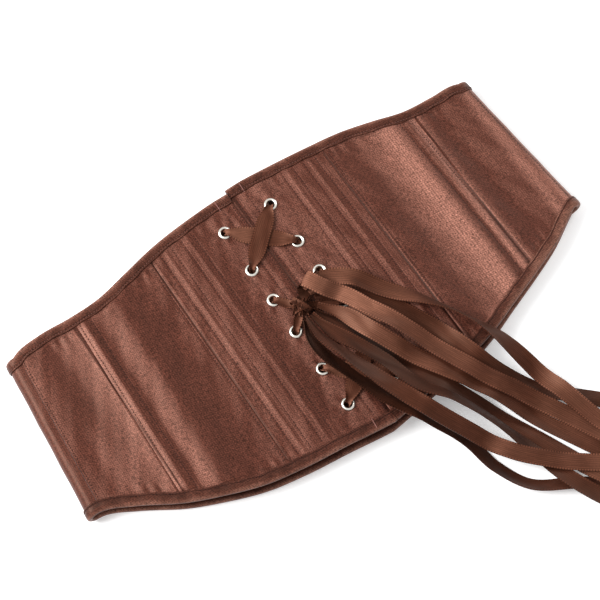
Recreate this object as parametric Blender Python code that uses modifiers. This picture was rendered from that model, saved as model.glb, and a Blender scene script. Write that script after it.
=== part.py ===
"""Corset belt: a boned satin waist belt, laced up the middle, lying flattened on its back layer.

The belt is one tube of cloth. Its laced front layer lies on top, the cloth turns under at the left
and right folds, and the back layer rests on the surface. Lengths are in metres, +Z is up, +Y points
to the belt's top edge and +X along its width. The origin is on the surface, under the belt's middle.
"""

import math
from collections import namedtuple

import bmesh
import bpy
import numpy as np
from mathutils import Matrix, Vector

MM = 0.001

# Belt
HALF_WIDTH = 0.2000
HALF_HEIGHT = 0.1050
FAN = 0.0054
FOLD_THICKNESS = 0.0160
CREST_THICKNESS = 0.0185
CLOTH = 0.0018
BACK_PEEK = 0.0020
PLACKET_X = 0.0017
PLACKET_WIDTH = 0.3725 * HALF_WIDTH
FRONT_PANEL_WIDTH = 0.3515 * HALF_WIDTH
PLACKET_LEAN = 0.0018
LEFT_STRIP_FLAT = 0.0034
RIGHT_STRIP_FLAT = 0.0014
SEAM_GAP = 0.0004
SAG_END = 0.92

# Edge binding
BINDING_WIDTH = 0.0080
BINDING_WALL = 0.0007
BINDING_CLEARANCE = 0.0004
BINDING_MARGIN = 0.00165
BINDING_SHELF = 1.4 * BINDING_WIDTH

# Eyelets
EYELET_INSET = 0.0195
EYELET_BORE = 0.0056
EYELET_FLANGE = 0.0092
EYELET_WASHER = 0.92 * EYELET_FLANGE
EYELET_WALL = 0.0004
FLANGE_HEIGHT = 0.0008
EYELET_CLEARANCE = 0.0003

# Ribbon and knot
RIBBON_WIDTH = 0.0120
RIBBON_THICKNESS = 0.0010
BUNCHED_WIDTH = 0.0042
RIBBON_CLEARANCE = 0.0004
RIBBON_SPREAD = 0.0280
RIBBON_STEP = 0.0065
RIBBON_SLOPE = 0.45
LACE_BEND = 0.32 * EYELET_BORE
LACE_CORNER = 0.3 * LACE_BEND
KNOT_LENGTH = 0.0160
KNOT_WIDTH = 0.0140
KNOT_HEIGHT = 0.0100
KNOT_WAIST = 0.12
KNOT_X = -0.0060
KNOT_Y = 0.0000
KNOT_GAP = 0.0007

BINDING_OUT = BINDING_CLEARANCE + BINDING_WALL
BINDING_NOSE = BINDING_CLEARANCE + 1.5 * BINDING_WALL
LEFT, RIGHT = -1, 1
SIDE_NAME = {LEFT: "left", RIGHT: "right"}

# Outer outline: across is a share of the half width, the reaches are shares of the half height
Outline = namedtuple("Outline", "across top_left top_right bottom_left bottom_right")
OUTLINE = (
    Outline(0.00, 0.975, 1.000, -0.981, -0.981),
    Outline(0.06, 0.976, 1.002, -0.967, -0.968),
    Outline(0.15, 0.968, 0.990, -0.943, -0.945),
    Outline(0.34, 0.929, 0.955, -0.900, -0.902),
    Outline(0.47, 0.876, 0.924, -0.852, -0.843),
    Outline(0.60, 0.826, 0.867, -0.762, -0.752),
    Outline(0.72, 0.820, 0.806, -0.657, -0.668),
    Outline(0.85, 0.832, 0.787, -0.502, -0.565),
    Outline(0.95, 0.812, 0.779, -0.405, -0.455),
    Outline(1.00, 0.768, 0.745, -0.395, -0.402),
)

# Raised bones: at is a share of the piece's width from its inner seam
Bone = namedtuple("Bone", "name at width rise")
PLACKET_BONES = (
    Bone("edge bone", 0.085, 0.0070, 0.0007),
    Bone("inner bone", 0.590, 0.0080, 0.0010),
    Bone("outer bone", 0.830, 0.0080, 0.0010),
)
PANEL_BONES = (Bone("seam bone", 0.925, 0.0095, 0.0008),)

# Soft hollows and swells: across and spread are shares of the half width
Dent = namedtuple("Dent", "name across spread depth")
DENTS = (
    Dent("left end hollow", -0.860, 0.050, -0.0010),
    Dent("left panel hollow", -0.500, 0.090, -0.0014),
    Dent("right panel hollow", 0.500, 0.090, -0.0012),
    Dent("right end hollow", 0.860, 0.060, -0.0012),
)

# Eyelet heights as shares of the half height
EYELET_ROWS = (0.740, 0.414, 0.157, -0.110, -0.420, -0.710)

PANEL_ROWS = 6
FRONT_STEP = 0.12 * HALF_WIDTH
END_STEP = 0.08 * HALF_WIDTH
BACK_STEPS = 4
FOLD_STEPS = 6
EYELET_SIDES = 12
BONE_STEP = 0.0026

# Routes of the loose ribbons, chosen by hand, in millimetres across and along from the knot's middle
Ribbon = namedtuple("Ribbon", "name start_height route")
RIBBONS = (
    Ribbon("ribbon_1", 3, ((-3, -9), (-7, -23), (-5, -40), (3, -63), (13, -90), (29, -116), (43, -140),
                           (48, -165), (59, -187), (87, -205), (112, -222))),
    Ribbon("ribbon_2", 6, ((12, 0), (26, -6), (48, -23), (62, -48), (74, -78), (85, -108), (103, -134),
                           (136, -166), (154, -184))),
    Ribbon("ribbon_3", 4, ((7, -8), (15, -24), (23, -45), (34, -74), (52, -104), (68, -132), (82, -160),
                           (94, -186), (105, -211), (116, -233))),
    Ribbon("ribbon_4", 4, ((3, -9), (8, -28), (17, -49), (25, -66), (34, -93), (50, -115), (66, -142),
                           (77, -176), (89, -212), (104, -242))),
    Ribbon("ribbon_5", 7, ((10, -6), (19, -17), (30, -44), (43, -70), (61, -99), (79, -127), (97, -162),
                           (114, -192), (129, -218))),
    Ribbon("ribbon_6", 5, ((-1, -9), (-2, -28), (4, -50), (15, -78), (28, -108), (47, -139), (64, -166),
                           (82, -183), (109, -204), (132, -221))),
    Ribbon("ribbon_7", 10, ((10, 4), (19, 3), (28, -8), (37, -28), (50, -53), (62, -80), (77, -110),
                            (95, -137), (110, -162), (131, -203))),
    Ribbon("ribbon_8", 9, ((8, 8), (22, 9), (40, -2), (57, -22), (74, -43), (90, -68), (104, -102),
                           (115, -139), (125, -176), (135, -206))),
)


def smooth(value):
    """Ease from 0 to 1."""
    value = min(1.0, max(0.0, value))
    return value * value * (3 - 2 * value)


def curve_through(stations, values, at):
    """Value at one place of a smooth curve through a short table."""
    i = int(np.clip(np.searchsorted(stations, at) - 1, 0, len(stations) - 2))
    span = stations[i + 1] - stations[i]
    share = min(1.0, max(0.0, (at - stations[i]) / span))
    slope = np.gradient(values, stations)
    a, b = values[i], values[i + 1]
    turn_a, turn_b = slope[i] * span, slope[i + 1] * span
    two, three = share * share, share * share * share
    return float(
        (2 * three - 3 * two + 1) * a
        + (three - 2 * two + share) * turn_a
        + (3 * two - 2 * three) * b
        + (three - two) * turn_b
    )


def outline_reach(x, column):
    """Height along Y of the belt's outer edge at one distance across."""
    across = np.array([row.across for row in OUTLINE])
    reach = np.array([getattr(row, column) for row in OUTLINE])
    return HALF_HEIGHT * curve_through(across, reach, abs(x) / HALF_WIDTH)


def edge_heights(x, side, layer):
    """Bottom and top of the cloth, inside its binding, at one distance across."""
    top = outline_reach(x, "top_" + SIDE_NAME[side]) - BINDING_NOSE
    bottom = outline_reach(x, "bottom_" + SIDE_NAME[side]) + BINDING_NOSE
    if layer == "back":
        bottom -= BACK_PEEK * (1 - (x / HALF_WIDTH) ** 2)
    return bottom, top


def bone_rise(x, side, from_edge):
    """How far the bones under the cloth lift it."""
    offset = side * (x - PLACKET_X)
    rise = 0.0
    for bones, start, width in (
        (PLACKET_BONES, 0.0, PLACKET_WIDTH),
        (PANEL_BONES, PLACKET_WIDTH, FRONT_PANEL_WIDTH),
    ):
        for bone in bones:
            away = abs(offset - start - bone.at * width) / (bone.width / 2)
            rise += bone.rise * smooth(1 - away)
    return rise * smooth((from_edge - BINDING_WIDTH) / (0.5 * BINDING_WIDTH))


def front_point(x, side, t):
    """Middle of the front layer's cloth; t runs from the bottom edge to the top edge."""
    share = min(1.0, abs(x) / HALF_WIDTH)
    bottom, top = edge_heights(x, side, "front")
    from_edge = (top - bottom) * min(t, 1 - t)
    level = FOLD_THICKNESS + (CREST_THICKNESS - FOLD_THICKNESS) * (1 - share**2.5)
    z = level - BINDING_OUT - CLOTH / 2
    for dent in DENTS:
        z += dent.depth * math.exp(-(((x / HALF_WIDTH - dent.across) / dent.spread) ** 2))
    z += bone_rise(x, side, from_edge)
    fan = FAN * share * math.copysign(share, x)
    lean = PLACKET_LEAN * max(0.0, 1 - abs(x - PLACKET_X) / EYELET_INSET)
    return Vector((x + (fan + lean) * (1 - 2 * t), bottom + (top - bottom) * t, z))


def back_point(x, side, t):
    """Middle of the back layer's cloth, which sags to the surface between its bindings."""
    share = min(1.0, abs(x) / HALF_WIDTH)
    bottom, top = edge_heights(x, side, "back")
    from_edge = (top - bottom) * min(t, 1 - t)
    sag = smooth((from_edge - BINDING_WIDTH) / (1.5 * BINDING_WIDTH)) * smooth((SAG_END - share) / (1 - SAG_END))
    z = CLOTH / 2 + BINDING_OUT * (1 - sag)
    fan = FAN * share * math.copysign(share, x) * (1 - 2 * t)
    return Vector((x + fan, bottom + (top - bottom) * t, z))


def fold_start(side):
    """Distance across where a fold's round stretch begins."""
    back_z = CLOTH / 2 + BINDING_OUT
    probe = front_point(side * (HALF_WIDTH - FOLD_THICKNESS / 2), side, 0.5)
    return side * (HALF_WIDTH - (probe.z - back_z) / 2)


def fold_point(side, turn, t):
    """Middle of the cloth round a fold; turn runs from 0 on the front to 1 on the back."""
    back_z = CLOTH / 2 + BINDING_OUT
    x = fold_start(side)
    front = front_point(x, side, t)
    back = back_point(x, side, t)
    angle = math.pi * turn
    flat = front.lerp(back, turn)
    reach = (side * HALF_WIDTH - x) * math.sin(angle)
    middle_z = (front.z + back_z) / 2
    half = (front.z - back_z) / 2
    return Vector((flat.x + reach, flat.y, middle_z + half * math.cos(angle)))


# A station is one place along the tube's round: the layer, the side and where on it
Station = namedtuple("Station", "layer side at")


def wall_point(station, t):
    """Middle of the cloth at one station."""
    if station.layer == "front":
        return front_point(station.at, station.side, t)
    if station.layer == "back":
        return back_point(station.at, station.side, t)
    return fold_point(station.side, station.at, t)


def seam_positions(side):
    """Distances across of the placket line and the seams on one side."""
    flat = LEFT_STRIP_FLAT if side == LEFT else RIGHT_STRIP_FLAT
    return {
        "middle": PLACKET_X,
        "placket seam": PLACKET_X + side * PLACKET_WIDTH,
        "panel seam": PLACKET_X + side * (PLACKET_WIDTH + FRONT_PANEL_WIDTH),
        "fold seam": fold_start(side) - side * flat,
    }


def thin_out(values, least):
    """Sorted values with near neighbours dropped, both ends kept."""
    values = sorted(values)
    kept = [values[0]]
    for value in values[1:-1]:
        if value - kept[-1] > least and values[-1] - value > least:
            kept.append(value)
    return kept + [values[-1]]


def row_shares(station_low, steps):
    """Shares of the height for a panel's rows, with one row just inside each binding."""
    height = (wall_point(station_low, 1) - wall_point(station_low, 0)).length
    margin = 1.1 * BINDING_WIDTH / height
    middle = [margin + (1 - 2 * margin) * i / steps for i in range(steps + 1)]
    return [0.0] + middle + [1.0]


def new_collection(name):
    collection = bpy.data.collections.new(name)
    bpy.context.scene.collection.children.link(collection)
    return collection


def new_material(name, colour, roughness, metallic):
    material = bpy.data.materials.new(name)
    material.use_nodes = True
    material.diffuse_color = (*colour, 1.0)
    shader = material.node_tree.nodes["Principled BSDF"]
    shader.inputs["Base Color"].default_value = (*colour, 1.0)
    shader.inputs["Roughness"].default_value = roughness
    shader.inputs["Metallic"].default_value = metallic
    return material


def add_object(name, mesh, material, collection):
    mesh.materials.append(material)
    thing = bpy.data.objects.new(name, mesh)
    collection.objects.link(thing)
    return thing


def add_sheet(name, rows, thickness, material, collection):
    """Cloth of one thickness about a grid of middle points, rows of equal length."""
    across, along = len(rows[0]) - 1, len(rows) - 1
    shell = bmesh.new()
    bmesh.ops.create_grid(shell, x_segments=across, y_segments=along, size=0.5)
    for vertex in shell.verts:
        column = round((vertex.co.x + 0.5) * across)
        row = round((vertex.co.y + 0.5) * along)
        vertex.co = rows[row][column]
    mesh = bpy.data.meshes.new(name)
    shell.to_mesh(mesh)
    shell.free()
    sheet = add_object(name, mesh, material, collection)
    mesh.shade_smooth()
    mesh.set_sharp_from_angle(angle=math.radians(40))
    solid = sheet.modifiers.new("Thickness", "SOLIDIFY")
    solid.thickness = thickness
    solid.offset = 0
    solid.use_even_offset = True
    return sheet


def add_panel(name, stations, steps, material, collection):
    """One cloth panel between two seams, stations from one seam to the other."""
    shares = row_shares(stations[len(stations) // 2], steps)
    rows = [[wall_point(station, t) for station in stations] for t in shares]
    return add_sheet(name, rows, CLOTH, material, collection)


def even_places(start, end, step):
    """Evenly spaced places from start to end, about one step apart."""
    steps = max(2, round(abs(end - start) / step))
    return [start + (end - start) * i / steps for i in range(steps + 1)]


def front_stations(side, start, end, bones, step):
    """Stations of a front panel: its two seams, its bones and places about a step apart."""
    near, far = sorted((start, end))
    width = far - near
    near, far = near + SEAM_GAP / 2, far - SEAM_GAP / 2
    places = [near, far]
    for bone in bones:
        middle = start + side * bone.at * width
        places += [middle - bone.width / 2, middle, middle + bone.width / 2]
    places += even_places(near, far, step)[1:-1]
    kept = thin_out([p for p in places if near <= p <= far], BONE_STEP)
    return [Station("front", side, p) for p in kept]


def front_pieces(side):
    """Stations of the placket, the front panel and the end panel of one side."""
    seams = seam_positions(side)
    inner, middle, outer = seams["placket seam"], seams["panel seam"], seams["fold seam"]
    return {
        "placket": front_stations(side, seams["middle"], inner, PLACKET_BONES, FRONT_STEP),
        "front_panel": front_stations(side, inner, middle, PANEL_BONES, FRONT_STEP),
        "end_panel": front_stations(side, middle, outer, (), END_STEP),
    }


def surface_height(x, y):
    """Upper face of the front layer at a place near the middle of the belt."""
    side = LEFT if x < PLACKET_X else RIGHT
    bottom, top = edge_heights(x, side, "front")
    return front_point(x, side, (y - bottom) / (top - bottom)).z + CLOTH / 2


def eyelet_place(side, row):
    """Middle of the cloth at one eyelet, and the cloth's own up direction there."""
    x = PLACKET_X + side * EYELET_INSET
    bottom, top = edge_heights(x, side, "front")
    t = (EYELET_ROWS[row] * HALF_HEIGHT - bottom) / (top - bottom)
    step = 0.25 * EYELET_FLANGE
    rise = step / (top - bottom)
    across = front_point(x + step, side, t) - front_point(x - step, side, t)
    up = across.cross(front_point(x, side, t + rise) - front_point(x, side, t - rise))
    return front_point(x, side, t), up.normalized()


def add_eyelet(name, place, up, material, collection):
    """Round eyelet: a domed flange on the cloth, a barrel through it and a washer behind."""
    bore = EYELET_BORE / 2
    barrel = bore + EYELET_WALL
    upper = CLOTH / 2 + EYELET_CLEARANCE
    flange = EYELET_FLANGE / 2
    crown = 0.6 * bore + 0.4 * flange
    profile = (
        (bore, upper + 0.7 * FLANGE_HEIGHT),
        (crown, upper + FLANGE_HEIGHT),
        (flange, upper),
        (barrel, upper),
        (barrel, -upper),
        (EYELET_WASHER / 2, -upper),
        (bore, -upper - 0.6 * FLANGE_HEIGHT),
    )
    ring = bmesh.new()
    corners = [ring.verts.new((r, 0, z)) for r, z in profile]
    for a, b in zip(corners, corners[1:] + corners[:1]):
        ring.edges.new((a, b))
    mesh = bpy.data.meshes.new(name)
    ring.to_mesh(mesh)
    ring.free()
    eyelet = add_object(name, mesh, material, collection)
    eyelet.location = place
    eyelet.rotation_euler = up.to_track_quat("Z", "Y").to_euler()
    turn = eyelet.modifiers.new("Turned", "SCREW")
    turn.steps = turn.render_steps = EYELET_SIDES
    turn.use_merge_vertices = True
    turn.merge_threshold = 0.00001
    turn.use_smooth_shade = True
    return eyelet


def cut_eyelet_holes(placket, side, cutters):
    """Round holes for the eyelet barrels, cut square to the cloth."""
    radius = EYELET_BORE / 2 + EYELET_WALL + EYELET_CLEARANCE
    drills = bmesh.new()
    for row in range(len(EYELET_ROWS)):
        place, up = eyelet_place(side, row)
        turn = up.to_track_quat("Z", "Y").to_matrix().to_4x4()
        bmesh.ops.create_cone(
            drills,
            cap_ends=True,
            segments=EYELET_SIDES,
            radius1=radius,
            radius2=radius,
            depth=6 * CLOTH,
            matrix=Matrix.Translation(place) @ turn,
        )
    mesh = bpy.data.meshes.new("eyelet drills " + SIDE_NAME[side])
    drills.to_mesh(mesh)
    drills.free()
    cutter = bpy.data.objects.new(mesh.name, mesh)
    cutter.hide_render = True
    cutter.display_type = "WIRE"
    cutters.objects.link(cutter)
    cut = placket.modifiers.new("Eyelet holes", "BOOLEAN")
    cut.operation = "DIFFERENCE"
    cut.object = cutter


def add_front(satin, metal, collection, cutters):
    """Plackets, front panels, end panels and eyelets of the laced layer."""
    for side in (LEFT, RIGHT):
        name = SIDE_NAME[side]
        for piece, stations in front_pieces(side).items():
            panel = add_panel(f"{piece}_{name}", stations, PANEL_ROWS, satin, collection)
            if piece == "placket":
                cut_eyelet_holes(panel, side, cutters)
        for row in range(len(EYELET_ROWS)):
            place, up = eyelet_place(side, row)
            add_eyelet(f"eyelet_{name}_{row + 1}", place, up, metal, collection)


def fold_stations(side):
    """Stations of a side strip, from its front seam round the fold to its back seam."""
    edge = seam_positions(side)["fold seam"] + side * SEAM_GAP / 2
    turns = [Station("fold", side, i / FOLD_STEPS) for i in range(FOLD_STEPS + 1)]
    return [Station("front", side, edge)] + turns + [Station("back", side, edge)]


def back_stations(start, end):
    """Stations of one plain panel of the back layer, from its left seam to its right seam."""
    places = [start + (end - start) * i / BACK_STEPS for i in range(BACK_STEPS + 1)]
    return [Station("back", LEFT if x < 0 else RIGHT, x) for x in places]


def back_seams():
    """Places across of the back layer's seams, from left to right."""
    left = seam_positions(LEFT)
    right = seam_positions(RIGHT)
    return left["fold seam"], left["placket seam"], right["placket seam"], right["fold seam"]


def add_back(satin, collection):
    """Side strips round the folds and the plain panels of the layer underneath."""
    for side in (LEFT, RIGHT):
        add_panel("side_strip_" + SIDE_NAME[side], fold_stations(side), PANEL_ROWS, satin, collection)
    seams = back_seams()
    for name, start, end in zip(("left", "middle", "right"), seams, seams[1:]):
        stations = back_stations(start + SEAM_GAP / 2, end - SEAM_GAP / 2)
        add_panel("back_panel_" + name, stations, PANEL_ROWS - 2, satin, collection)


def round_stations():
    """Stations of the whole round, from the left placket edge to the right placket edge."""
    halves = {}
    for side in (LEFT, RIGHT):
        away = [side * station.at for stations in front_pieces(side).values() for station in stations]
        kept = thin_out(away, BONE_STEP)[:-1]
        halves[side] = [Station("front", side, side * place) for place in kept] + fold_stations(side)
    seams = back_seams()
    back = []
    for start, end in zip(seams, seams[1:]):
        back += back_stations(start, end)[1:]
    return halves[LEFT] + back[:-1] + halves[RIGHT][::-1]


def add_binding(name, edge, satin, collection):
    """Folded band over the cloth's edge all round the tube; edge is 1 at the top, 0 at the bottom."""
    stations = round_stations()
    edges = [wall_point(station, edge) for station in stations]
    inner = abs(edge - BINDING_WIDTH / (2 * HALF_HEIGHT))
    half = CLOTH / 2 + BINDING_CLEARANCE + BINDING_WALL / 2
    shoulder = -BINDING_CLEARANCE
    nose = BINDING_WALL / 2 - BINDING_NOSE
    leg = BINDING_WIDTH - BINDING_NOSE
    section = ((leg, half), (shoulder, half), (nose, 0.0), (shoulder, -half), (leg, -half))
    rows = [[] for _ in section]
    for i, station in enumerate(stations):
        before, after = edges[max(0, i - 1)], edges[min(len(edges) - 1, i + 1)]
        inward = (wall_point(station, inner) - edges[i]).normalized()
        outward = (after - before).cross(inward).normalized() * (1 if edge == 1 else -1)
        for row, (along, away) in zip(rows, section):
            row.append(edges[i] + inward * along + outward * away)
    add_sheet(name, rows, BINDING_WALL, satin, collection)


class Relief:
    """Height of everything laid down so far, on a grid over the part of the belt under the ribbons."""

    CELL = 0.0015

    def __init__(self, low, high):
        self.low = np.array(low)
        counts = np.ceil((np.array(high) - self.low) / self.CELL).astype(int) + 1
        self.top = np.zeros(counts)
        for i in range(counts[0]):
            x = self.low[0] + i * self.CELL
            side = LEFT if x < PLACKET_X else RIGHT
            front_bottom = outline_reach(x, "bottom_" + SIDE_NAME[side])
            front_top = outline_reach(x, "top_" + SIDE_NAME[side])
            for j in range(counts[1]):
                y = self.low[1] + j * self.CELL
                if front_bottom - BINDING_MARGIN < y < front_top + BINDING_MARGIN:
                    self.top[i, j] = surface_height(x, y)
                    if min(y - front_bottom, front_top - y) < BINDING_SHELF:
                        self.top[i, j] += BINDING_OUT
                elif front_bottom - BACK_PEEK - 2 * BINDING_MARGIN < y < front_bottom:
                    self.top[i, j] = CLOTH + 2 * BINDING_OUT

    def cells(self, points):
        places = np.round((np.asarray(points)[..., :2] - self.low) / self.CELL).astype(int)
        return np.clip(places, 0, np.array(self.top.shape) - 1)

    def raise_to(self, points, heights):
        """Lift the relief to the given heights around the given points."""
        for (i, j), height in zip(self.cells(points).reshape(-1, 2), np.ravel(heights)):
            self.top[i, j] = max(self.top[i, j], height)

    def under(self, points):
        """Greatest height under a set of points and the cells beside them."""
        found = 0.0
        for i, j in self.cells(points).reshape(-1, 2):
            window = self.top[max(0, i - 1) : i + 2, max(0, j - 1) : j + 2]
            found = max(found, float(window.max()))
        return found

    def stamp_strip(self, middles, halves, thickness):
        """Add a ribbon given by its middle points and its half-width vectors."""
        for a, b, wide_a, wide_b in zip(middles, middles[1:], halves, halves[1:]):
            for share in np.linspace(0, 1, 6):
                middle = a.lerp(b, share)
                wide = wide_a.lerp(wide_b, share)
                for across in np.linspace(-1, 1, 13):
                    point = middle + wide * across
                    self.raise_to([point], [point.z + thickness / 2])


def add_ribbon(name, middles, halves, satin, collection):
    """Flat ribbon about a line of middle points, with its half-width vector at each."""
    rows = [
        [middle - half for middle, half in zip(middles, halves)],
        [middle + half for middle, half in zip(middles, halves)],
    ]
    add_sheet(name, rows, RIBBON_THICKNESS, satin, collection)


# A lace's flights from eyelet to eyelet: over is on the front, under is inside the tube
Stop = namedtuple("Stop", "side row")
Flight = namedtuple("Flight", "level crest")
TOP_LACE = (
    (Stop(LEFT, 2), Stop(LEFT, 1), Stop(RIGHT, 0), Stop(LEFT, 0), Stop(RIGHT, 1), Stop(RIGHT, 2)),
    (Flight("under", 0), Flight("over", 1), Flight("under", 0), Flight("over", 0), Flight("under", 0)),
)
BOTTOM_LACE = (
    (Stop(LEFT, 3), Stop(LEFT, 4), Stop(RIGHT, 5), Stop(LEFT, 5), Stop(RIGHT, 4), Stop(RIGHT, 3)),
    (Flight("under", 0), Flight("over", 0), Flight("under", 0), Flight("over", 1), Flight("under", 0)),
)


def lace_width(distance, length):
    """Ribbon width at one distance along a flight: bunched in the eyelets, wide between."""
    from_end = min(distance, length - distance)
    share = smooth((from_end - 0.3 * EYELET_FLANGE) / (1.1 * EYELET_FLANGE))
    return BUNCHED_WIDTH + (RIBBON_WIDTH - BUNCHED_WIDTH) * share


def flight_points(start, end, flight):
    """Middle points and widths between two eyelets, dipping into both."""
    level, crest = flight
    plan = Vector((end.x - start.x, end.y - start.y, 0))
    length = plan.length
    heading = plan.normalized()
    lie = 0.5 * RIBBON_THICKNESS + RIBBON_CLEARANCE
    out = CLOTH / 2 + EYELET_CLEARANCE + FLANGE_HEIGHT + lie
    up = 1 if level == "over" else -1
    middle = CLOTH / 2 + lie + RIBBON_CLEARANCE + crest * (RIBBON_THICKNESS + 2 * RIBBON_CLEARANCE)
    if level == "under":
        middle = out
    clear = min(0.5 * length, 0.75 * EYELET_FLANGE)
    shelf = min(0.5 * length, 0.75 * EYELET_FLANGE + 0.4 * RIBBON_WIDTH)
    ends = (
        (0.0, out - LACE_BEND),
        (LACE_CORNER, out - LACE_CORNER),
        (LACE_BEND, out),
        (clear, out),
        (shelf, middle),
    )
    stations = list(ends) + [(length / 2, middle)] + [(length - s, z) for s, z in reversed(ends)]
    points = []
    for distance, height in stations:
        share = distance / length
        base = start.lerp(end, share)
        if 0.2 < share < 0.8 and level == "over":
            base.z = surface_height(base.x, base.y) - CLOTH / 2
        spot = Vector((base.x, base.y, base.z + up * height))
        points.append((spot, heading.cross(Vector((0, 0, 1))), lace_width(distance, length)))
    return points


def knot_arm(start, toward):
    """Middle points and widths from an eyelet up to the knot's side."""
    plan = Vector((toward.x - start.x, toward.y - start.y, 0))
    heading = plan.normalized()
    angle = math.atan2(heading.y, heading.x)
    knot_reach = 0.5 * KNOT_WIDTH * KNOT_LENGTH / math.hypot(
        KNOT_LENGTH * math.cos(angle), KNOT_WIDTH * math.sin(angle)
    )
    length = plan.length - knot_reach - KNOT_GAP
    lie = 0.5 * RIBBON_THICKNESS + RIBBON_CLEARANCE
    out = CLOTH / 2 + EYELET_CLEARANCE + FLANGE_HEIGHT + lie
    stations = (
        (0.0, out - LACE_BEND, 1.0),
        (LACE_CORNER, out - LACE_CORNER, 1.0),
        (LACE_BEND, out, 1.0),
        (0.55 * EYELET_FLANGE, out, 1.1),
        (0.8 * length, out + 0.08 * KNOT_HEIGHT, 1.3),
        (length, out + 0.20 * KNOT_HEIGHT, 1.0),
    )
    points = []
    for distance, height, wide in stations:
        spot = start + heading * distance
        spot.z = start.z + height
        points.append((spot, heading.cross(Vector((0, 0, 1))), BUNCHED_WIDTH * wide))
    return points


def agreeing(wide, before):
    """The same width direction, turned round where it runs against the one before it."""
    return -wide if before.dot(wide) < 0 else wide


def lace_strip(stops, flights, knot):
    """Middle points and half-width vectors of one lace, from the knot round its eyelets and back."""
    places = [eyelet_place(stop.side, stop.row)[0] for stop in stops]
    legs = [flight_points(a, b, flight) for a, b, flight in zip(places, places[1:], flights)]
    legs.append(knot_arm(places[-1], knot))
    middles, halves = [], []
    for spot, wide, width in reversed(knot_arm(places[0], knot)):
        middles.append(spot)
        halves.append(wide * width / 2)
    for place, leg in zip(places, legs):
        ahead = agreeing(leg[0][1], halves[-1])
        turned = (halves[-1].normalized() + ahead).normalized()
        middles.append(place)
        halves.append(turned * BUNCHED_WIDTH / 2)
        for spot, wide, width in leg:
            middles.append(spot)
            halves.append(agreeing(wide, halves[-1]) * width / 2)
    return middles, halves


def add_knot(knot, satin, collection):
    """Tied knot: a flattened lump with a shallow waist."""
    lump = bmesh.new()
    bmesh.ops.create_uvsphere(lump, u_segments=12, v_segments=8, radius=0.5)
    for vertex in lump.verts:
        waist = 1 - KNOT_WAIST * math.exp(-((5 * vertex.co.y) ** 2))
        vertex.co = Vector(
            (vertex.co.x * KNOT_WIDTH * waist, vertex.co.y * KNOT_LENGTH, vertex.co.z * KNOT_HEIGHT)
        )
    mesh = bpy.data.meshes.new("knot")
    lump.to_mesh(mesh)
    lump.free()
    mesh.shade_smooth()
    thing = add_object("knot", mesh, satin, collection)
    thing.location = knot


def resample(route):
    """Evenly spaced plan points on a smooth curve through a route's own points."""
    knots = np.array(route) * MM + np.array((KNOT_X, KNOT_Y))
    along = np.concatenate([[0.0], np.cumsum(np.linalg.norm(np.diff(knots, axis=0), axis=1))])
    fine = np.linspace(0, along[-1], 400)
    line = np.array([[curve_through(along, knots[:, k], s) for k in (0, 1)] for s in fine])
    run = np.concatenate([[0.0], np.cumsum(np.linalg.norm(np.diff(line, axis=0), axis=1))])
    steps = max(8, round(run[-1] / RIBBON_STEP))
    even = np.linspace(0, run[-1], steps + 1)
    return np.stack([np.interp(even, run, line[:, k]) for k in (0, 1)], axis=1), even


def drape(plan, run, start_height, relief, base_height):
    """Heights of a ribbon laid over the relief, sloping down no faster than the ribbon bends."""
    ahead = np.gradient(plan, run, axis=0)
    ahead /= np.linalg.norm(ahead, axis=1)[:, None]
    beside = np.stack([ahead[:, 1], -ahead[:, 0]], axis=1)
    spread = np.array([smooth(s / RIBBON_SPREAD) for s in run])
    widths = BUNCHED_WIDTH + (RIBBON_WIDTH - BUNCHED_WIDTH) * spread
    need = np.empty(len(run))
    for i in range(len(run)):
        reach = widths[i] / 2 + 0.6 * relief.CELL
        spots = [
            plan[i] + beside[i] * reach * across + ahead[i] * 0.5 * RIBBON_STEP * forth
            for across in np.linspace(-1, 1, 9)
            for forth in (-1, 0, 1)
        ]
        need[i] = relief.under(spots) + RIBBON_CLEARANCE + RIBBON_THICKNESS / 2
    need[0] = max(need[0], base_height + start_height * MM)
    height = np.array([np.max(need - RIBBON_SLOPE * np.abs(run - s)) for s in run])
    for _ in range(6):
        eased = height.copy()
        eased[1:-1] = (height[:-2] + 2 * height[1:-1] + height[2:]) / 4
        height = np.maximum(need, eased)
    middles = [Vector((x, y, z)) for (x, y), z in zip(plan, height)]
    halves = [Vector((bx, by, 0)) * w / 2 for (bx, by), w in zip(beside, widths)]
    return middles, halves


def add_ribbons(knot, relief, satin, collection):
    """The loose ribbons, each laid over the ones before it."""
    base = knot.z - KNOT_HEIGHT / 2
    for ribbon in RIBBONS:
        plan, run = resample(ribbon.route)
        middles, halves = drape(plan, run, ribbon.start_height, relief, base)
        relief.stamp_strip(middles, halves, RIBBON_THICKNESS)
        add_ribbon(ribbon.name, middles, halves, satin, collection)


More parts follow.
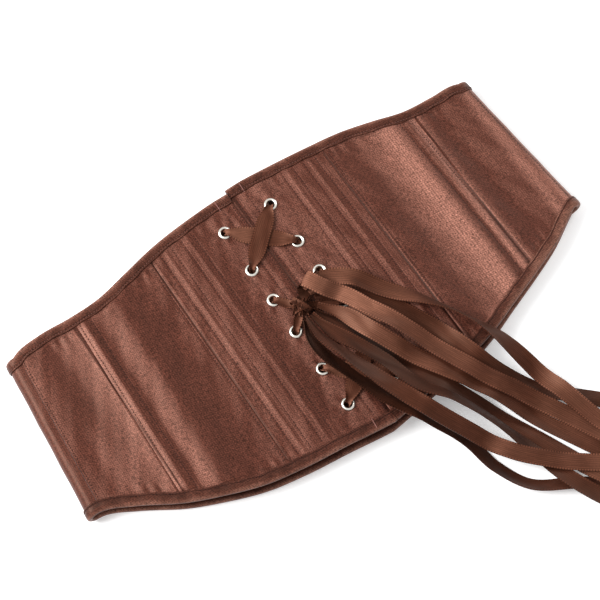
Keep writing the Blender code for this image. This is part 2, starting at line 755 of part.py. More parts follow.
def add_lacing(satin, collection):
    """Both laces, the knot and the loose ribbons."""
    knot = Vector((KNOT_X, KNOT_Y, 0))
    knot.z = surface_height(KNOT_X, KNOT_Y) + RIBBON_CLEARANCE + KNOT_HEIGHT / 2
    laid = [resample(ribbon.route)[0] for ribbon in RIBBONS]
    laid += [np.array(eyelet_place(side, row)[0].to_2d())[None] for side in (LEFT, RIGHT) for row in (0, -1)]
    laid = np.concatenate(laid)
    relief = Relief(laid.min(axis=0) - RIBBON_WIDTH, laid.max(axis=0) + RIBBON_WIDTH)
    for side in (LEFT, RIGHT):
        for row in range(len(EYELET_ROWS)):
            place, _ = eyelet_place(side, row)
            for angle in np.linspace(0, 2 * math.pi, 24):
                for radius in np.linspace(0, EYELET_FLANGE / 2, 6):
                    spot = place + Vector((radius * math.cos(angle), radius * math.sin(angle), 0))
                    top = place.z + CLOTH / 2 + EYELET_CLEARANCE + FLANGE_HEIGHT
                    relief.raise_to([spot], [top])
    for name, (stops, flights) in (("lace_top", TOP_LACE), ("lace_bottom", BOTTOM_LACE)):
        middles, halves = lace_strip(stops, flights, knot)
        relief.stamp_strip(middles, halves, RIBBON_THICKNESS)
        add_ribbon(name, middles, halves, satin, collection)
    add_knot(knot, satin, collection)
    add_ribbons(knot, relief, satin, collection)


def main():
    for thing in list(bpy.data.objects):
        bpy.data.objects.remove(thing, do_unlink=True)
    belt = new_collection("Corset belt")
    cutters = new_collection("Cutters")
    satin = new_material("Brown satin", (0.200, 0.075, 0.052), 0.42, 0.0)
    edging = new_material("Brown edging", (0.150, 0.055, 0.038), 0.50, 0.0)
    ribbon = new_material("Brown ribbon", (0.155, 0.060, 0.036), 0.45, 0.0)
    silver = new_material("Silver metal", (0.780, 0.780, 0.760), 0.25, 1.0)
    add_front(satin, silver, belt, cutters)
    add_back(satin, belt)
    add_binding("binding_top", 1, edging, belt)
    add_binding("binding_bottom", 0, edging, belt)
    add_lacing(ribbon, belt)


main()
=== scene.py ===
"""Corset belt: boned brown satin, laced with ribbon, lying flattened on a pale surface."""

import math
from collections import namedtuple

import bpy
import numpy as np
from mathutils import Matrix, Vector


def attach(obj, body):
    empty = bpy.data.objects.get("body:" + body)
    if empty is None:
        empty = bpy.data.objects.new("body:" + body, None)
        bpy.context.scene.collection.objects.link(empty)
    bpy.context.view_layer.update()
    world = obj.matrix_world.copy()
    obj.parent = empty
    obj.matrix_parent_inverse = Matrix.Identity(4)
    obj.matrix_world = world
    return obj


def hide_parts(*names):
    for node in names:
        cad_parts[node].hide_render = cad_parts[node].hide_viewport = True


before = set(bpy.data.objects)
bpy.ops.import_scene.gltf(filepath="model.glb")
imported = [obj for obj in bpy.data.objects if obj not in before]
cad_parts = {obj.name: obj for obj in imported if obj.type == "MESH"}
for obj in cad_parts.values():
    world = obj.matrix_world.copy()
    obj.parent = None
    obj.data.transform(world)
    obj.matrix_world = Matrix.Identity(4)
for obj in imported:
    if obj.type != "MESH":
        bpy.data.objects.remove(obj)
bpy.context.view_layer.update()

MM = 0.001
TAU = 2 * math.pi
LEFT, RIGHT = -1, 1
SIDES = (LEFT, RIGHT)
SIDE_NAME = {LEFT: "left", RIGHT: "right"}

# Belt, as in the solids
HALF_WIDTH = 0.2000
HALF_HEIGHT = 0.1050
FAN = 0.0054
FOLD_THICKNESS = 0.0160
CREST_THICKNESS = 0.0185
CLOTH = 0.0018
BACK_PEEK = 0.0020
SAG_END = 0.92
PLACKET_X = 0.0017
PLACKET_WIDTH = 0.0745
FRONT_PANEL_WIDTH = 0.0703
PLACKET_LEAN = 0.0018
STRIP_FLAT = {LEFT: 0.0034, RIGHT: 0.0014}
SEAM_TURN = {LEFT: 0.0, RIGHT: 0.16}
# Painted light on each side strip: the right strip is lighter with a painted highlight
STRIP_PAINTED_LIGHT = {LEFT: 0.0, RIGHT: 0.55}
SEAM_GAP = 0.0004
BINDING_WIDTH = 0.0080
BINDING_OUT = 0.0011
BINDING_NOSE = 0.00145
EYELET_INSET = 0.0195
EYELET_ROWS = (0.740, 0.414, 0.157, -0.110, -0.420, -0.710)
EYELET_HOLE = 0.0036
EYELETS = [(side, row) for side in SIDES for row in range(len(EYELET_ROWS))]
RIBBON_WIDTH = 0.0120
RIBBON_THICKNESS = 0.0006
BUNCHED_WIDTH = 0.0042
KNOT = (-0.0060, 0.0000)
KNOT_SIZE = (0.0140, 0.0160, 0.0100)

ACROSS = np.array((0.00, 0.06, 0.15, 0.34, 0.47, 0.60, 0.72, 0.85, 0.95, 1.00))
REACH = {
    ("top", LEFT): (0.975, 0.976, 0.968, 0.929, 0.876, 0.826, 0.820, 0.832, 0.812, 0.768),
    ("top", RIGHT): (1.000, 1.002, 0.990, 0.955, 0.924, 0.867, 0.806, 0.787, 0.779, 0.745),
    ("bottom", LEFT): (-0.981, -0.967, -0.943, -0.900, -0.852, -0.762, -0.657, -0.502, -0.405, -0.395),
    ("bottom", RIGHT): (-0.981, -0.968, -0.945, -0.902, -0.843, -0.752, -0.668, -0.565, -0.455, -0.402),
}

# Bones: offset from the placket line, width and rise, in millimetres
BONES = ((6.3, 4.5, 0.18), (43.6, 3.8, 0.24), (62.3, 4.4, 0.34), (139.5, 6.0, 0.50))
# Stitch rows: offsets from the placket line, in millimetres
STITCH_ROWS = (2.4, 10.4, 39.3, 48.6, 57.2, 66.8, 77.0, 134.3, 142.9)
SEAMS = (74.5, 144.8)
# Broad swells of the satin: offset and spread in mm, rise in mm, height along t and its spread
SWELLS = {
    LEFT: ((113, 13, 2.2, 0.55, 0.7), (82, 20, -1.0, 0.45, 0.6), (140, 9, 1.6, 0.5, 0.7),
           (166, 10, -1.2, 0.60, 0.45), (178, 9, -1.2, 0.25, 0.3), (29, 10, -0.9, 0.40, 0.5)),
    RIGHT: ((104, 17, -2.6, 0.42, 0.7), (126, 9, 1.8, 0.45, 0.8), (162, 12, -1.6, 0.60, 0.6),
            (30, 10, -0.9, 0.45, 0.5)),
}
# Painted light bands, painted highlight where the strength is above 0 and painted shade where below: offset
# and spread in mm, strength, and for some height along t and its spread
PAINTED_LIGHT_BANDS = {
    LEFT: ((189, 5, 0.12), (163, 9, -0.26, 0.60, 0.30), (150, 6, 0.10, 0.15, 0.35), (144, 3, 0.14),
           (139.5, 2.5, 0.14), (133.4, 2.0, -0.16), (128, 5, 0.34, 0.12, 0.32), (115, 5, -0.26, 0.12, 0.32),
           (95, 20, -0.05), (60, 4, 0.14), (30, 10, -0.04)),
    RIGHT: ((7, 2.5, 0.22), (20, 8, 0.26), (43, 4, 0.12), (88, 12, 0.08), (101, 6, 0.20), (112, 9, 0.14),
            (125, 8, 0.62), (134.5, 2.2, -0.16), (141, 2.6, 0.74), (147.5, 4, 0.34), (166, 15, -0.10),
            (188, 5, 0.62), (197.5, 3.5, 0.85)),
}
EDGE_TO_EDGE = (0.5, 9.0)

# Loose ribbons, as in the solids: height at the knot and route from its middle in millimetres, then roll in
# degrees and painted light at shares of the length, painted highlight above 0 and painted shade below
Ribbon = namedtuple("Ribbon", "start_height route rolls glow")
RIBBONS = (
    Ribbon(3, ((-3, -9), (-7, -23), (-5, -40), (3, -63), (13, -90), (29, -116), (43, -140),
               (48, -165), (59, -187), (87, -205), (112, -222)),
           ((0, 38), (0.3, 36), (0.5, 30), (0.75, 40), (1, 30)),
           ((0, -0.5), (0.3, -0.45), (0.5, -0.2), (1, -0.1))),
    Ribbon(6, ((12, 0), (26, -6), (48, -23), (62, -48), (74, -78), (85, -108), (103, -134),
               (136, -166), (154, -184)),
           ((0, 0), (0.3, 0), (0.5, -25), (0.75, 20), (1, 0)), ((0, -0.1), (0.4, -0.2), (1, -0.25))),
    Ribbon(4, ((7, -8), (15, -24), (23, -45), (34, -74), (52, -104), (68, -132), (82, -160),
               (94, -186), (105, -211), (116, -233)),
           ((0, 10), (0.12, 38), (0.3, 30), (0.5, 20), (1, 0)),
           ((0, -0.45), (0.35, -0.4), (0.6, 0), (1, 0.05))),
    Ribbon(4, ((3, -9), (8, -28), (17, -49), (25, -66), (34, -93), (50, -115), (66, -142),
               (77, -176), (89, -212), (104, -242)),
           ((0, -10), (0.1, 15), (0.35, 35), (0.45, 50), (0.62, 50), (0.75, 20), (1, 15)),
           ((0, -0.45), (0.3, -0.4), (0.5, -0.25), (1, -0.25))),
    Ribbon(7, ((10, -6), (19, -17), (30, -44), (43, -70), (61, -99), (79, -127), (97, -162),
               (114, -192), (129, -218)),
           ((0, -20), (0.2, -14), (0.4, 8), (1, 0)),
           ((0, 0), (0.15, 0.18), (0.35, 0.14), (0.7, 0.12), (1, 0))),
    Ribbon(5, ((-1, -9), (-2, -28), (4, -50), (15, -78), (28, -108), (47, -139), (64, -166),
               (82, -183), (109, -204), (132, -221)),
           ((0, 42), (0.14, 46), (0.24, 26), (0.34, 4), (0.7, 2), (1, -8)),
           ((0, -0.05), (0.25, -0.15), (0.5, 0.12), (1, 0.10))),
    Ribbon(10, ((10, 4), (19, 3), (28, -8), (37, -28), (50, -53), (62, -80), (77, -110),
                (95, -137), (110, -162), (131, -203)),
           ((0, -10), (0.15, 4), (0.4, 5), (0.8, -14), (1, -10)),
           ((0, 0.62), (0.14, 0.60), (0.35, 0.26), (0.6, 0.18), (1, 0))),
    Ribbon(9, ((8, 8), (22, 9), (40, -2), (57, -22), (74, -43), (90, -68), (104, -102),
               (115, -139), (125, -176), (135, -206)),
           ((0, 0), (0.13, -6), (0.25, 5), (0.36, 52), (0.46, 66), (0.55, 38), (0.64, 0), (1, 4)),
           ((0, 0.2), (0.12, 0.25), (0.3, 0.1), (0.45, 0.05), (0.7, 0.08), (1, 0.10))),
)


# Camera, light and surface

def add_object(name, data):
    thing = bpy.data.objects.new(name, data)
    bpy.context.scene.collection.objects.link(thing)
    return thing


def add_camera():
    azimuth, elevation, distance = math.radians(-34.4), math.radians(70), 1.1667
    back = Vector((math.sin(azimuth) * math.cos(elevation), -math.cos(azimuth) * math.cos(elevation),
                   math.sin(elevation)))
    camera = add_object("Camera", bpy.data.cameras.new("Camera"))
    camera.data.lens = 100
    camera.data.sensor_width = 36
    camera.location = Vector((-0.0013, 0.0077, 0.012)) + distance * back
    camera.rotation_euler = back.to_track_quat("Z", "Y").to_euler()
    bpy.context.scene.camera = camera


def add_light(name, place, size, power):
    light = bpy.data.lights.new(name, "AREA")
    light.shape = "RECTANGLE"
    light.size, light.size_y = size
    light.energy = power
    lamp = add_object(name, light)
    lamp.location = place
    lamp.rotation_euler = Vector(place).to_track_quat("Z", "Y").to_euler()


def add_studio():
    add_light("Key", (-1.00, 0.62, 1.10), (0.9, 0.9), 40)
    add_light("Side", (1.35, 0.35, 0.70), (0.5, 0.9), 9)
    world = bpy.data.worlds.new("Studio")
    bpy.context.scene.world = world
    world.use_nodes = True
    glow = world.node_tree.nodes["Background"].inputs
    glow["Color"].default_value = (1.0, 1.0, 1.0, 1.0)
    glow["Strength"].default_value = 0.70
    bpy.context.scene.view_settings.view_transform = "Standard"
    mesh = bpy.data.meshes.new("floor")
    mesh.from_pydata([(-6, -6, 0), (6, -6, 0), (6, 6, 0), (-6, 6, 0)], [], [(0, 1, 2, 3)])
    floor = add_object("floor", mesh)
    floor.location.z = -0.0003
    kit = Nodes("Pale floor")
    speck = kit.noise(kit.coords("Object"), 40, 3)
    kit.shader("Base Color", kit.ramp(speck, (0.3, (0.90, 0.90, 0.90)), (0.7, (0.93, 0.93, 0.93))))
    kit.set("Roughness", 0.7)
    kit.set("Emission Color", (1.0, 1.0, 1.0, 1.0))
    kit.set("Emission Strength", 0.22)
    mesh.materials.append(kit.material)


# Materials

class Nodes:
    """A material under construction, with short calls for the nodes it uses."""

    def __init__(self, name):
        self.material = bpy.data.materials.new(name)
        self.material.use_nodes = True
        self.tree = self.material.node_tree
        self.bsdf = self.tree.nodes["Principled BSDF"]

    def node(self, kind, **values):
        made = self.tree.nodes.new(kind)
        for key, value in values.items():
            setattr(made, key, value)
        return made

    def join(self, source, target):
        self.tree.links.new(source, target)

    def set(self, name, value):
        self.bsdf.inputs[name].default_value = value

    def shader(self, name, source):
        self.join(source, self.bsdf.inputs[name])

    def coords(self, output):
        return self.node("ShaderNodeTexCoord").outputs[output]

    def axes(self, vector):
        split = self.node("ShaderNodeSeparateXYZ")
        self.join(vector, split.inputs[0])
        return split.outputs

    def math(self, operation, a, b=0.0):
        made = self.node("ShaderNodeMath", operation=operation)
        for socket, value in zip(made.inputs, (a, b)):
            if isinstance(value, (int, float)):
                socket.default_value = value
            else:
                self.join(value, socket)
        return made.outputs[0]

    def total(self, *parts):
        """The sum of some sockets, each times its weight."""
        made = 0.0
        for socket, weight in parts:
            made = self.math("ADD", made, self.math("MULTIPLY", socket, weight))
        return made

    def wave(self, axis, pitch, wobble=None):
        """A sine from 0 to 1 along one coordinate with the given pitch."""
        turn = self.math("MULTIPLY", axis, TAU / pitch)
        if wobble is not None:
            turn = self.math("ADD", turn, wobble)
        return self.math("ADD", self.math("MULTIPLY", self.math("SINE", turn), 0.5), 0.5)

    def noise(self, vector, scale, detail=2, stretch=None):
        if stretch is not None:
            mapping = self.node("ShaderNodeMapping")
            mapping.inputs["Scale"].default_value = stretch
            self.join(vector, mapping.inputs["Vector"])
            vector = mapping.outputs[0]
        made = self.node("ShaderNodeTexNoise")
        made.inputs["Scale"].default_value = scale
        made.inputs["Detail"].default_value = detail
        self.join(vector, made.inputs["Vector"])
        return made.outputs["Fac"]

    def ramp(self, factor, *stops):
        made = self.node("ShaderNodeValToRGB")
        elements = made.color_ramp.elements
        while len(elements) < len(stops):
            elements.new(0.5)
        for element, (at, colour) in zip(elements, stops):
            element.position = at
            element.color = (*colour, 1.0)
        self.join(factor, made.inputs[0])
        return made.outputs["Color"]

    def attribute(self, name):
        return self.node("ShaderNodeAttribute", attribute_name=name).outputs["Fac"]

    def mix(self, factor, colour, other):
        """A colour socket blended towards a plain colour."""
        made = self.node("ShaderNodeMix", data_type="RGBA")
        self.join(factor, made.inputs["Factor"])
        self.join(colour, made.inputs[6])
        made.inputs[7].default_value = (*other, 1.0)
        return made.outputs[2]

    def spread(self, factor, low, high):
        made = self.node("ShaderNodeMapRange")
        made.inputs["To Min"].default_value = low
        made.inputs["To Max"].default_value = high
        self.join(factor, made.inputs["Value"])
        return made.outputs[0]

    def tint(self, colour, factor, low, high):
        """A colour made lighter and darker by a factor."""
        made = self.node("ShaderNodeVectorMath", operation="SCALE")
        self.join(colour, made.inputs[0])
        self.join(self.spread(factor, low, high), made.inputs["Scale"])
        return made.outputs[0]

    def bump(self, height, distance, strength=1.0):
        made = self.node("ShaderNodeBump")
        made.inputs["Distance"].default_value = distance
        made.inputs["Strength"].default_value = strength
        self.join(height, made.inputs["Height"])
        self.shader("Normal", made.outputs[0])

    def base_with_painted_light(self, colour, painted_highlight, painted_shade_floor, *layers):
        """The base colour: painted highlight towards a lighter colour where the painted light attribute is
        above 0, painted shade down to a floor where it is below, then varied by each layer.
        """
        painted_light = self.attribute("painted_light")
        colour = self.mix(painted_light, colour, painted_highlight)
        for factor, low, high in ((self.math("ADD", painted_light, 1.0), painted_shade_floor, 1.0), *layers):
            colour = self.tint(colour, factor, low, high)
        self.shader("Base Color", colour)

    def gleam(self, specular, tint, sheen_roughness, sheen_tint):
        """A tinted highlight and a faint sheen."""
        self.set("Specular IOR Level", specular)
        self.set("Specular Tint", (*tint, 1.0))
        self.set("Sheen Weight", 0.02)
        self.set("Sheen Roughness", sheen_roughness)
        self.set("Sheen Tint", (*sheen_tint, 1.0))


def satin_material(name, painted_highlight, light, dark, roughness, along):
    """Woven satin. The floats run along one axis of the cloth, crossed by a slanting weft."""
    kit = Nodes(name)
    place = kit.coords("Object")
    x, y, z = kit.axes(place)
    run, cross = (y, x) if along == "y" else (x, y)
    # Height counts across too, so that the weave runs on round the folds
    cross = kit.math("SUBTRACT", cross, kit.math("MULTIPLY", kit.math("SIGN", cross), z))
    drift = kit.noise(place, 55, 3)
    wobble = kit.math("MULTIPLY", kit.noise(place, 500, 2), 4.0)
    floats = kit.wave(cross, 0.00135, wobble)
    weft = kit.wave(run, 0.00145, kit.math("MULTIPLY", cross, TAU / 0.0052))
    streak = kit.noise(place, 620, 3, (1.0, 0.10, 1.0) if along == "y" else (0.10, 1.0, 1.0))
    grain = kit.noise(place, 930, 1)
    weave = kit.total((floats, 0.55), (weft, 0.45))
    # Base colour with painted highlight and painted shade from the painted light attribute
    kit.base_with_painted_light(kit.ramp(drift, (0.30, dark), (0.70, light)), painted_highlight, 0.18,
                 (weave, 0.62, 1.38), (streak, 0.80, 1.20), (grain, -0.25, 2.25))
    kit.shader("Roughness", kit.spread(streak, roughness - 0.08, roughness + 0.08))
    kit.bump(kit.total((weave, 1.0), (grain, 0.9), (streak, 0.9)), 0.00006, 0.55)
    kit.gleam(0.26, (1.0, 0.60, 0.46), 0.45, (1.0, 0.72, 0.62))
    return kit.material


def ribbon_material(name, painted_highlight, light, dark):
    """Narrow satin ribbon: ribs across it, a soft run of threads along it and firm edges."""
    kit = Nodes(name)
    place = kit.coords("UV")
    across, along, _ = kit.axes(place)
    ribs = kit.wave(across, 0.00125, kit.math("MULTIPLY", kit.noise(place, 120, 2), 2.0))
    threads = kit.noise(place, 1300, 2, (1.0, 0.05, 1.0))
    drift = kit.noise(kit.coords("Object"), 45, 2)
    grain = kit.noise(kit.coords("Object"), 1600, 2)
    from_edge = kit.math("SUBTRACT", RIBBON_WIDTH / 2, kit.math("ABSOLUTE", across))
    edge = kit.math("LESS_THAN", from_edge, 0.0010)
    picot = kit.math("MULTIPLY", edge, kit.wave(along, 0.0019))
    # Base colour with painted highlight and painted shade from the painted light attribute
    kit.base_with_painted_light(kit.ramp(drift, (0.32, dark), (0.68, light)), painted_highlight, 0.25, (ribs, 0.80, 1.20),
                 (threads, 0.50, 1.50), (grain, 0.60, 1.40), (edge, 1.0, 0.55), (picot, 1.0, 3.2))
    kit.shader("Roughness", kit.spread(threads, 0.40, 0.52))
    kit.bump(kit.total((ribs, 0.5), (threads, 0.8), (edge, 0.8)), 0.00006, 0.6)
    kit.gleam(0.16, (1.0, 0.60, 0.42), 0.4, (1.0, 0.80, 0.68))
    return kit.material


def thread_material(name, dark, light):
    kit = Nodes(name)
    place = kit.coords("Object")
    ply = kit.noise(place, 2600, 2)
    kit.shader("Base Color", kit.ramp(ply, (0.3, dark), (0.7, light)))
    kit.shader("Roughness", kit.spread(ply, 0.65, 0.85))
    kit.bump(ply, 0.00005)
    kit.set("Specular IOR Level", 0.15)
    return kit.material


def metal_material():
    kit = Nodes("Silver metal")
    place = kit.coords("Object")
    wear = kit.noise(place, 420, 3)
    scratch = kit.noise(place, 2400, 2)
    kit.shader("Base Color", kit.ramp(wear, (0.25, (0.82, 0.79, 0.70)), (0.75, (0.97, 0.94, 0.86))))
    kit.shader("Roughness", kit.spread(scratch, 0.26, 0.42))
    kit.bump(scratch, 0.00002, 0.5)
    kit.set("Metallic", 1.0)
    return kit.material


# The belt's surface

def smooth(value):
    value = np.clip(value, 0.0, 1.0)
    return value * value * (3 - 2 * value)


def bell(value):
    return np.exp(-(value ** 2))


def through(stations, values, at):
    """Smooth curve through a short table."""
    stations, values = np.asarray(stations, float), np.asarray(values, float)
    at = np.clip(np.asarray(at, float), stations[0], stations[-1])
    i = np.clip(np.searchsorted(stations, at) - 1, 0, len(stations) - 2)
    span = stations[i + 1] - stations[i]
    s = (at - stations[i]) / span
    slope = np.gradient(values, stations)
    return ((2 * s**3 - 3 * s**2 + 1) * values[i] + (s**3 - 2 * s**2 + s) * slope[i] * span
            + (3 * s**2 - 2 * s**3) * values[i + 1] + (s**3 - s**2) * slope[i + 1] * span)


def edge_heights(x, side, layer):
    share = np.abs(x) / HALF_WIDTH
    top = HALF_HEIGHT * through(ACROSS, REACH["top", side], share) - BINDING_NOSE
    bottom = HALF_HEIGHT * through(ACROSS, REACH["bottom", side], share) + BINDING_NOSE
    if layer == "back":
        bottom = bottom - BACK_PEEK * (1 - share**2)
    return bottom, top


def relief(x, y, t, side, from_edge):
    """Bones, stitch grooves, seams, swells and small puckers of the upper layer."""
    offset = side * (x - PLACKET_X) / MM
    along = y / MM
    rise = np.zeros_like(offset)
    for at, width, height in BONES:
        rise += height * bell((offset - at) / (0.36 * width))
    pull = 1 + 0.35 * np.cos(TAU * along / 2.3)
    for at in STITCH_ROWS:
        rise -= 0.12 * pull * bell((offset - at) / 0.70)
    rise -= 0.35 * bell(offset / 0.9)
    for at in SEAMS:
        rise += np.where(offset < at, 0.30 * np.exp(-(at - offset) / 2.5), 0.0)
        rise -= 0.48 * bell((offset - at) / 0.50)
    for at, spread, height, middle, reach in SWELLS[side]:
        rise += height * bell((offset - at) / spread) * bell((t - middle) / reach)
    rise += 0.16 * np.sin(along / 9.7 + 0.11 * offset) * np.sin(offset / 7.3 + along / 41)
    rise += 0.07 * np.sin(along / 3.1 + offset / 5.0) * np.sin(offset / 2.9 - along / 17)
    for row, share in enumerate(EYELET_ROWS):
        away, up = offset - EYELET_INSET / MM, along - share * HALF_HEIGHT / MM
        ring = bell((np.hypot(away, up) - 7.0) / 3.6)
        rise += ring * (0.17 * np.cos(5 * np.arctan2(up, away) + 1.7 * row) - 0.10)
    near = bell((from_edge / MM - 8) / 7.0)
    rise += 0.10 * near * np.sin(offset / 1.45 + 1.6 * np.sin(offset / 6.3)) * (1 + 0.6 * np.sin(offset / 11))
    inside = smooth((from_edge - 0.75 * BINDING_WIDTH) / (0.5 * BINDING_WIDTH))
    return rise * MM * inside


def plan_of(x, t, side, layer):
    """x, t, y, distance from the nearer edge, share of the half width and fan in one layer."""
    x, t = np.broadcast_arrays(np.asarray(x, float), np.asarray(t, float))
    share = np.minimum(1.0, np.abs(x) / HALF_WIDTH)
    bottom, top = edge_heights(x, side, layer)
    from_edge = (top - bottom) * np.minimum(t, 1 - t)
    return x, t, bottom + (top - bottom) * t, from_edge, share, FAN * share * share * np.sign(x)


def front_point(x, t, side, fine=True):
    """Middle of the upper layer's cloth; t runs from the bottom edge to the top edge."""
    x, t, y, from_edge, share, fan = plan_of(x, t, side, "front")
    z = FOLD_THICKNESS + (CREST_THICKNESS - FOLD_THICKNESS) * (1 - share**2.5) - BINDING_OUT - CLOTH / 2
    if fine:
        z = z + relief(x, y, t, side, from_edge)
    lean = PLACKET_LEAN * np.maximum(0.0, 1 - np.abs(x - PLACKET_X) / EYELET_INSET)
    return np.stack([x + (fan + lean) * (1 - 2 * t), y, z], axis=-1)


def back_point(x, t, side):
    """Middle of the under layer's cloth."""
    x, t, y, from_edge, share, fan = plan_of(x, t, side, "back")
    sag = smooth((from_edge - BINDING_WIDTH) / (1.5 * BINDING_WIDTH))
    sag = sag * smooth((SAG_END - share) / (1 - SAG_END))
    z = CLOTH / 2 + BINDING_OUT * (1 - sag)
    return np.stack([x + fan * (1 - 2 * t), y, z], axis=-1)


def under_layer(x, t):
    """The under layer's cloth on both sides of the middle."""
    halves = [back_point(x, t, side) for side in SIDES]
    return np.where(x[..., None] < 0, *halves)


BACK_Z = CLOTH / 2 + BINDING_OUT


def fold_start(side):
    probe = front_point(side * (HALF_WIDTH - FOLD_THICKNESS / 2), 0.5, side, fine=False)
    return side * (HALF_WIDTH - (probe[2] - BACK_Z) / 2)


FOLD = {side: float(fold_start(side)) for side in SIDES}
FOLD_SEAM = {side: FOLD[side] - side * STRIP_FLAT[side] for side in SIDES}


def fold_point(turn, t, side):
    """Middle of the cloth round a fold; turn runs from 0 on the front to 1 on the back."""
    turn, t = np.broadcast_arrays(np.asarray(turn, float), np.asarray(t, float))
    front = front_point(np.full(t.shape, FOLD[side]), t, side, fine=False)
    back = back_point(np.full(t.shape, FOLD[side]), t, side)
    flat = front + (back - front) * turn[..., None]
    reach = (side * HALF_WIDTH - FOLD[side]) * np.sin(np.pi * turn)
    wave = 0.25 * MM * np.sin(flat[..., 1] / 0.011) * np.sin(np.pi * turn)
    half = (front[..., 2] - BACK_Z) / 2
    z = (front[..., 2] + BACK_Z) / 2 + half * np.cos(np.pi * turn)
    return np.stack([flat[..., 0] + reach - side * np.abs(wave), flat[..., 1], z], axis=-1)


# Mesh helpers

def painted_light_of(grid, side):
    """Painted light of the satin: painted highlight where it climbs across the belt towards the key light and
    in the listed bands, painted shade below 0 in seams, grooves and stitch rows.
    """
    slope = np.gradient(grid[..., 2], axis=1) / np.gradient(grid[..., 0], axis=1)
    offset = side * (grid[..., 0] - PLACKET_X) / MM
    # Painted highlight on slopes facing the key light, painted shade on slopes turned away
    painted_level = 0.10 + 0.34 * np.tanh(slope / 0.16)
    t = np.linspace(0, 1, len(grid))[:, None]
    for at, spread, strength, *height in PAINTED_LIGHT_BANDS[side]:
        middle, reach = height or EDGE_TO_EDGE
        painted_level = painted_level + strength * bell((offset - at) / spread) * bell((t - middle) / reach)
    # Painted shade in the stitch rows, the seams and the placket line, with a thin painted highlight beside
    # each seam
    for at in STITCH_ROWS:
        painted_level = painted_level - 0.10 * bell((offset - at) / 0.75)
    for at in SEAMS:
        painted_level = painted_level - 1.15 * bell((offset - at) / 0.62) + 0.14 * bell((offset - at - 1.5) / 0.8)
    painted_level = painted_level - 0.95 * bell(offset / 1.2)
    return np.clip(painted_level, -0.9, 0.85)


def make_object(name, points, faces, material, uv=None, sharp=40, painted_light=None):
    mesh = bpy.data.meshes.new(name)
    if isinstance(faces, np.ndarray):
        faces = faces.tolist()
    mesh.from_pydata(np.asarray(points, float).tolist(), [], faces)
    mesh.validate()
    mesh.shade_smooth()
    mesh.set_sharp_from_angle(angle=math.radians(sharp))
    if uv is not None:
        layer = mesh.uv_layers.new(name="UVMap")
        corners = np.empty(len(mesh.loops), dtype=int)
        mesh.loops.foreach_get("vertex_index", corners)
        layer.data.foreach_set("uv", np.asarray(uv, float)[corners].ravel())
    # Painted light and shade for each point, read by the materials
    if painted_light is not None:
        mesh.attributes.new("painted_light", "FLOAT", "POINT").data.foreach_set("value", np.ravel(painted_light))
    mesh.materials.append(material)
    return add_object(name, mesh)


def grid_faces(rows, columns, start=0, wrap=False):
    i = np.arange(rows - 1)[:, None]
    j = np.arange(columns if wrap else columns - 1)[None, :]
    a = start + i * columns + j
    b = start + i * columns + (j + 1) % columns
    return np.stack([a, b, b + columns, a + columns], axis=-1).reshape(-1, 4)


def unit(v):
    return v / np.maximum(np.linalg.norm(v, axis=-1, keepdims=True), 1e-12)


def normals_of(grid):
    return unit(np.cross(np.gradient(grid, axis=1), np.gradient(grid, axis=0)))


def slab(name, grid, thickness, material, outward=1, holes=(), uv=None, painted_light=None):
    """Cloth of one thickness about a grid of middle points, open where a hole is."""
    rows, columns = grid.shape[:2]
    normal = normals_of(grid) * outward * thickness / 2
    points = np.concatenate([(grid + normal).reshape(-1, 3), (grid - normal).reshape(-1, 3)])
    upper = grid_faces(rows, columns)
    centre = points[upper].mean(axis=1)
    keep = np.ones(len(upper), bool)
    for hole, radius in holes:
        keep &= np.linalg.norm(centre[:, :2] - np.asarray(hole)[:2], axis=1) > radius
    upper = upper[keep]
    count = rows * columns
    lower = upper[:, ::-1] + count
    index = np.arange(count).reshape(rows, columns)
    ring = np.concatenate([index[0, :], index[1:, -1], index[-1, -2::-1], index[-2:0:-1, 0]])
    following = np.roll(ring, -1)
    wall = np.stack([ring, ring + count, following + count, following], axis=-1)
    faces = np.concatenate([upper, lower, wall])
    if outward < 0:
        faces = faces[:, ::-1]
    if uv is not None:
        uv = np.concatenate([uv.reshape(-1, 2)] * 2)
    if painted_light is not None:
        painted_light = np.concatenate([np.ravel(painted_light)] * 2)
    return make_object(name, points, faces, material, uv, painted_light=painted_light)


def distances(points):
    """How far each point is along its line."""
    return np.concatenate([[0], np.cumsum(np.linalg.norm(np.diff(points, axis=0), axis=1))])


def sampled(line, run, at):
    """The line's values at some distances along it."""
    return np.stack([np.interp(at, run, line[:, k]) for k in range(line.shape[1])], axis=1)


def strip(name, middles, wides, widths, material, cup, columns, glow, crease):
    """Flat ribbon about a line, with its width direction and width at each point."""
    middles, wides = np.asarray(middles, float), unit(np.asarray(wides, float))
    ahead = unit(np.gradient(middles, axis=0))
    wides = unit(wides - ahead * np.sum(wides * ahead, axis=1, keepdims=True))
    up = np.cross(wides, ahead)
    widths = np.broadcast_to(widths, len(middles))
    cup = np.broadcast_to(cup, len(middles))
    u = np.linspace(-1, 1, columns)
    run = distances(middles)
    folds = np.sin(3.4 * u + 2.2 * np.sin(run / 0.011)[:, None])
    lift = cup[:, None] * (u**2 - 0.4) + np.broadcast_to(crease, len(run))[:, None] * folds
    out = wides[:, None] * (widths[:, None] / 2 * u)[..., None]
    grid = middles[:, None] + out + up[:, None] * lift[..., None]
    uv = np.stack([np.broadcast_to(RIBBON_WIDTH / 2 * u, grid.shape[:2]),
                   np.broadcast_to(run[:, None], grid.shape[:2])], axis=-1)
    normals = normals_of(grid)
    # Painted light: sides facing the key light are lighter, sides turned away are darker, plus the given
    # painted light offset
    tilt = normals @ np.array((-0.80, 0.45, 0.0))
    painted_level = np.clip(0.05 + glow + 0.85 * tilt * np.sign(normals[..., 2]), -0.75, 0.85)
    return slab(name, grid, RIBBON_THICKNESS, material, 1, (), uv, painted_level)


